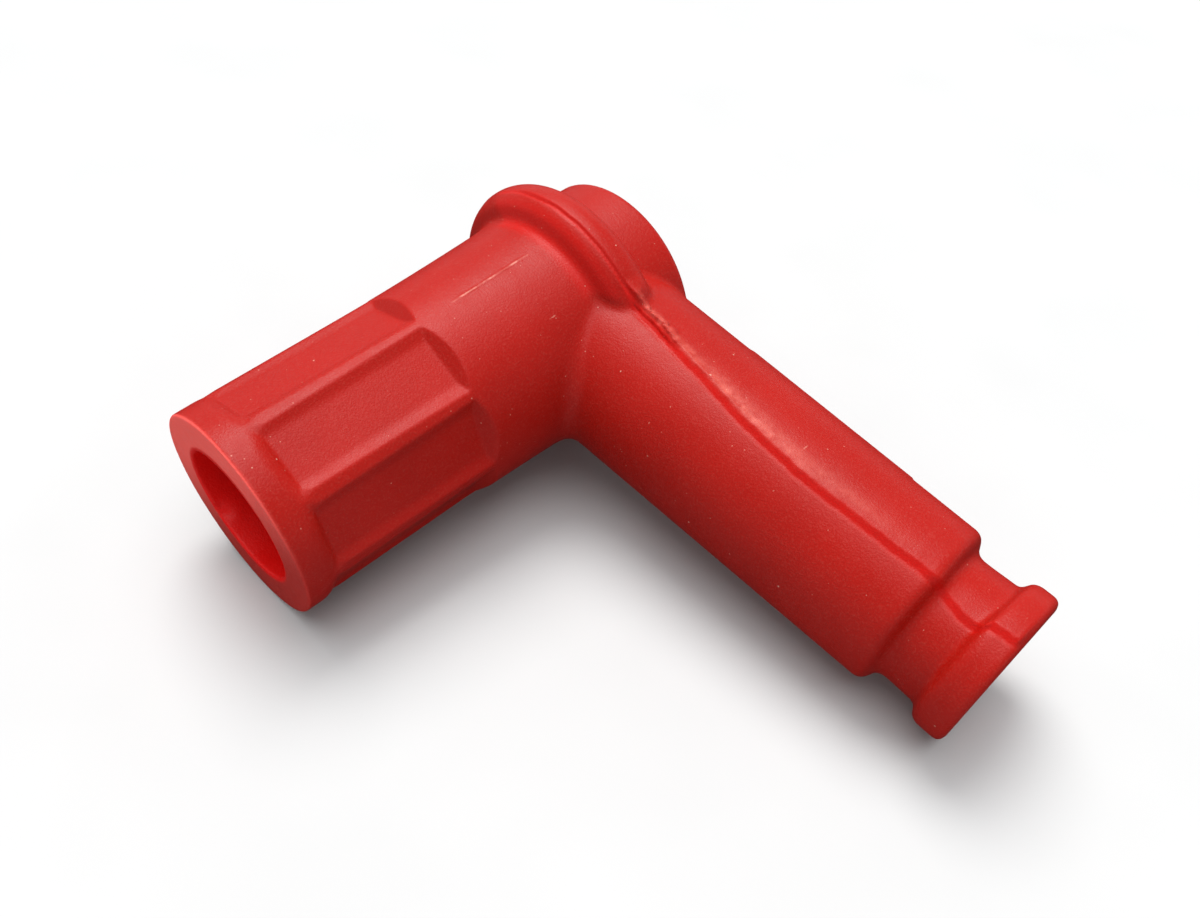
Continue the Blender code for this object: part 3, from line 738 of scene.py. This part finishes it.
def metal(name, light, dark, roughness):
    """Stained metal with a fine grain."""
    nodes = Nodes(name)
    stain = nodes.noise(600.0, 4.0)
    nodes.link(nodes.ramp(stain, [(0.35, dark), (0.65, light)]), nodes.shader.inputs["Base Color"])
    grain = nodes.noise(3000.0, 2.0)
    gloss = nodes.range(grain, 0.3, 0.7, roughness - 0.06, roughness + 0.1)
    nodes.link(gloss, nodes.shader.inputs["Roughness"])
    nodes.value("Metallic", 1.0)
    nodes.link(nodes.bump(grain, 0.01 * MM, 0.4), nodes.shader.inputs["Normal"])
    return nodes.material


def moulded(name, light, dark, roughness, scale):
    """A dull moulded or fired surface with grain."""
    nodes = Nodes(name)
    stain = nodes.noise(scale, 4.0)
    nodes.link(nodes.ramp(stain, [(0.35, dark), (0.65, light)]), nodes.shader.inputs["Base Color"])
    grain = nodes.noise(scale * 8, 3.0)
    gloss = nodes.range(grain, 0.3, 0.7, roughness - 0.06, roughness + 0.08)
    nodes.link(gloss, nodes.shader.inputs["Roughness"])
    nodes.link(nodes.bump(grain, 0.03 * MM, 0.5), nodes.shader.inputs["Normal"])
    return nodes.material


def spring_path(wire, count):
    """Points along the spring's wire; the first and last turns lie close together."""
    low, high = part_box("contact_spring")
    mean = high.z - CROSSING.z - wire
    start, end = low.x + wire, high.x - 4.2 * wire
    points = []
    for k in range(count + 1):
        share = k / count
        eased = min(max((share - CLOSED_SHARE) / (1.0 - 2.0 * CLOSED_SHARE), 0.0), 1.0)
        closed = min(share, CLOSED_SHARE) + max(share - 1.0 + CLOSED_SHARE, 0.0)
        along_x = start + (end - start) * eased + 1.6 * wire * closed / CLOSED_SHARE
        turn = math.tau * SPRING_TURNS * share
        side_y = CROSSING.y + mean * math.sin(turn)
        points.append(Vector((along_x, side_y, CROSSING.z + mean * math.cos(turn))))
    return points


def spring_surface():
    """The contact spring, a round wire along its coiled path."""
    wire = SPRING_WIRE_R * MM
    count = int(SPRING_TURNS * SPRING_STEPS)
    points = spring_path(wire, count)
    mesh = bmesh.new()
    rings = []
    for k, point in enumerate(points):
        ahead = points[min(k + 1, count)] - points[max(k - 1, 0)]
        out = Vector((0, point.y - CROSSING.y, point.z - CROSSING.z)).normalized()
        side = ahead.cross(out).normalized()
        ring = []
        for j in range(SPRING_SIDES):
            turn = math.tau * j / SPRING_SIDES
            ring.append(mesh.verts.new(point + (out * math.cos(turn) + side * math.sin(turn)) * wire))
        rings.append(ring)
    for before, after in zip(rings, rings[1:]):
        for j in range(SPRING_SIDES):
            n = (j + 1) % SPRING_SIDES
            mesh.faces.new((before[j], before[n], after[n], after[j]))
    mesh.faces.new(rings[0][::-1])
    mesh.faces.new(rings[-1])
    bmesh.ops.recalc_face_normals(mesh, faces=mesh.faces)
    data = bpy.data.meshes.new("spring_coil")
    mesh.to_mesh(data)
    mesh.free()
    data.shade_smooth()
    made = bpy.data.objects.new("spring_coil", data)
    bpy.context.collection.objects.link(made)
    return made


def dress_nodes(steel):
    """Give each CAD node that shows its own material."""
    brass = metal("turned_brass", (0.74, 0.52, 0.22), (0.55, 0.36, 0.14), 0.28)
    plated = metal("tin_plate", (0.70, 0.68, 0.62), (0.52, 0.50, 0.45), 0.34)
    looks = {
        "insulator_core": moulded("dark_phenolic", (0.055, 0.03, 0.02), (0.03, 0.017, 0.012), 0.42, 400.0),
        "core_cap": moulded("phenolic_lid", (0.065, 0.036, 0.024), (0.04, 0.022, 0.015), 0.45, 500.0),
        "resistor_rod": moulded("fired_ceramic", (0.78, 0.74, 0.66), (0.68, 0.63, 0.55), 0.6, 900.0),
        "plug_terminal": brass,
        "terminal_rivet": brass,
        "elbow_contact": brass,
        "lead_terminal": brass,
        "lead_screw": brass,
        "terminal_clip": steel,
        "contact_washer": steel,
        "resistor_cap_inner": plated,
        "resistor_cap_outer": plated,
    }
    for name, look in looks.items():
        shown = bpy.data.objects[name]
        shown.data.materials.clear()
        shown.data.materials.append(look)


# ---------------------------------------------------------------- floor, lights and camera


def resting_plane():
    """Upward direction of the plane that the ring bead, the mouth's rim and the end bead rest on."""
    supports = (
        Vector((0, BEAD_Y, -BEAD_R)),
        Vector((0, MOUTH_Y + MOUTH_EDGE, -MOUTH_R)),
        Vector((LEAD_END_X - 1.0, 0, -END_BEAD_R)),
    )
    normal = (supports[1] - supports[0]).cross(supports[2] - supports[0]).normalized()
    if normal.z < 0:
        normal.negate()
    return normal


def make_floor(boot):
    """A wide pale floor that the boot just touches; returns its upward direction."""
    normal = resting_plane()
    points = np.empty(len(boot.data.vertices) * 3)
    boot.data.vertices.foreach_get("co", points)
    depth = (points.reshape(-1, 3) @ np.array(normal)).min()
    mesh = bpy.data.meshes.new("floor")
    corners = [(x * FLOOR_HALF, y * FLOOR_HALF, 0) for x, y in ((-1, -1), (1, -1), (1, 1), (-1, 1))]
    mesh.from_pydata(corners, [], [(0, 1, 2, 3)])
    floor = bpy.data.objects.new("floor", mesh)
    bpy.context.collection.objects.link(floor)
    floor.rotation_mode = "QUATERNION"
    floor.rotation_quaternion = normal.to_track_quat("Z", "Y")
    floor.location = normal * depth
    nodes = Nodes("pale_floor")
    shades = [(0.3, (0.445, 0.45, 0.455)), (0.7, (0.46, 0.465, 0.47))]
    nodes.link(nodes.ramp(nodes.noise(40.0, 2.0), shades), nodes.shader.inputs["Base Color"])
    nodes.value("Roughness", 0.9)
    nodes.value("Specular IOR Level", 0.2)
    mesh.materials.append(nodes.material)
    floor.visible_glossy = False
    return normal


def soft_light(name, towards, spread, strength, colour=(1, 1, 1)):
    """A broad light far away in one direction; spread is the angle that it fills."""
    data = bpy.data.lights.new(name, "SUN")
    data.angle = math.radians(spread)
    data.energy = strength
    data.color = colour
    lamp = bpy.data.objects.new(name, data)
    bpy.context.collection.objects.link(lamp)
    lamp.location = CROSSING + Vector(towards)
    lamp.rotation_mode = "QUATERNION"
    lamp.rotation_quaternion = Vector(towards).to_track_quat("Z", "Y")


def make_camera():
    """A camera above the inner corner of the elbow."""
    right = Vector(CAMERA_RIGHT).normalized()
    forward = Vector(CAMERA_FORWARD).normalized()
    down = forward.cross(right).normalized()
    data = bpy.data.cameras.new("camera")
    data.lens = CAMERA_LENS
    data.sensor_width = 36.0
    data.clip_start = 0.005
    data.clip_end = 20.0
    camera = bpy.data.objects.new("camera", data)
    bpy.context.collection.objects.link(camera)
    turn = Matrix((right, -down, -forward)).transposed()
    place = CROSSING + Vector(CAMERA_PLACE) * MM
    camera.matrix_world = Matrix.Translation(place) @ turn.to_4x4()
    bpy.context.scene.camera = camera


def make_lights(up):
    """Two broad lights, and a pale surround that is brightest where it meets the floor."""
    soft_light("key", KEY_TOWARDS, KEY_SPREAD, KEY_STRENGTH, KEY_COLOUR)
    soft_light("top", TOP_TOWARDS, TOP_SPREAD, TOP_STRENGTH)
    world = bpy.data.worlds.new("studio")
    world.use_nodes = True
    tree = world.node_tree
    backdrop = tree.nodes["Background"]
    backdrop.inputs["Color"].default_value = (1, 1, 1, 1)
    direction = tree.nodes.new("ShaderNodeTexCoord")
    height = tree.nodes.new("ShaderNodeVectorMath")
    height.operation = "DOT_PRODUCT"
    height.inputs[1].default_value = up
    tree.links.new(direction.outputs["Generated"], height.inputs[0])
    share = tree.nodes.new("ShaderNodeMapRange")
    share.inputs["From Min"].default_value = -1.0
    tree.links.new(height.outputs["Value"], share.inputs["Value"])
    fade = tree.nodes.new("ShaderNodeValToRGB")
    stops = ((0.48, BELOW_FLOOR), (0.485, HORIZON), (0.53, HORIZON), (0.64, OVERHEAD))
    while len(fade.color_ramp.elements) < len(stops):
        fade.color_ramp.elements.new(0.5)
    for element, (position, bright) in zip(fade.color_ramp.elements, stops):
        element.position = position
        element.color = (bright, bright, bright, 1.0)
    tree.links.new(share.outputs["Result"], fade.inputs["Fac"])
    tree.links.new(fade.outputs["Color"], backdrop.inputs["Strength"])
    bpy.context.scene.world = world
    bpy.context.scene.view_settings.view_transform = "Standard"


# ---------------------------------------------------------------- assembly

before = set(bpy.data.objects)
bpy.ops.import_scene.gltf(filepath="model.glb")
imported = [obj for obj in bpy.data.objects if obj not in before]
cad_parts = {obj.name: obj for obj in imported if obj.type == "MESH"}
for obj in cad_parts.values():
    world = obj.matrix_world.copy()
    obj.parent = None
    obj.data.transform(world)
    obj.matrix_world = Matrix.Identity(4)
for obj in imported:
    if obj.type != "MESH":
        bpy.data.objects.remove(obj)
cad_low, cad_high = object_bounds()

BEAD_R = (cad_high.z - cad_low.z) / 2 / MM
LEAD_END_X = (cad_high.x - cad_low.x) / MM - BEAD_R
CROSSING = Vector((cad_low.x + BEAD_R * MM, 0, cad_low.z + BEAD_R * MM))
core_low, core_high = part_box("insulator_core")
rod_low, rod_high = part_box("resistor_rod")
CROSSING.y = (rod_low.y + rod_high.y) / 2
MOUTH_Y = (cad_low.y - CROSSING.y) / MM
DOME_END = (cad_high.y - CROSSING.y) / MM
CORE_FRONT = (core_low.y - CROSSING.y) / MM
CORE_BACK = (core_high.y - CROSSING.y) / MM
CORE_R = (core_high.z - core_low.z) / 2 / MM
CORE_ARM_END = (core_high.x - CROSSING.x) / MM

boot = boot_surface()
boot.data.materials.append(silicone())
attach(boot, "cap")
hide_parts("elbow_boot")
steel = metal("spring_steel", (0.62, 0.62, 0.63), (0.42, 0.42, 0.44), 0.26)
dress_nodes(steel)
spring = spring_surface()
spring.data.materials.append(steel)
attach(spring, "cap")
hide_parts("contact_spring")
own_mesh(spring)
make_camera()
make_lights(make_floor(boot))
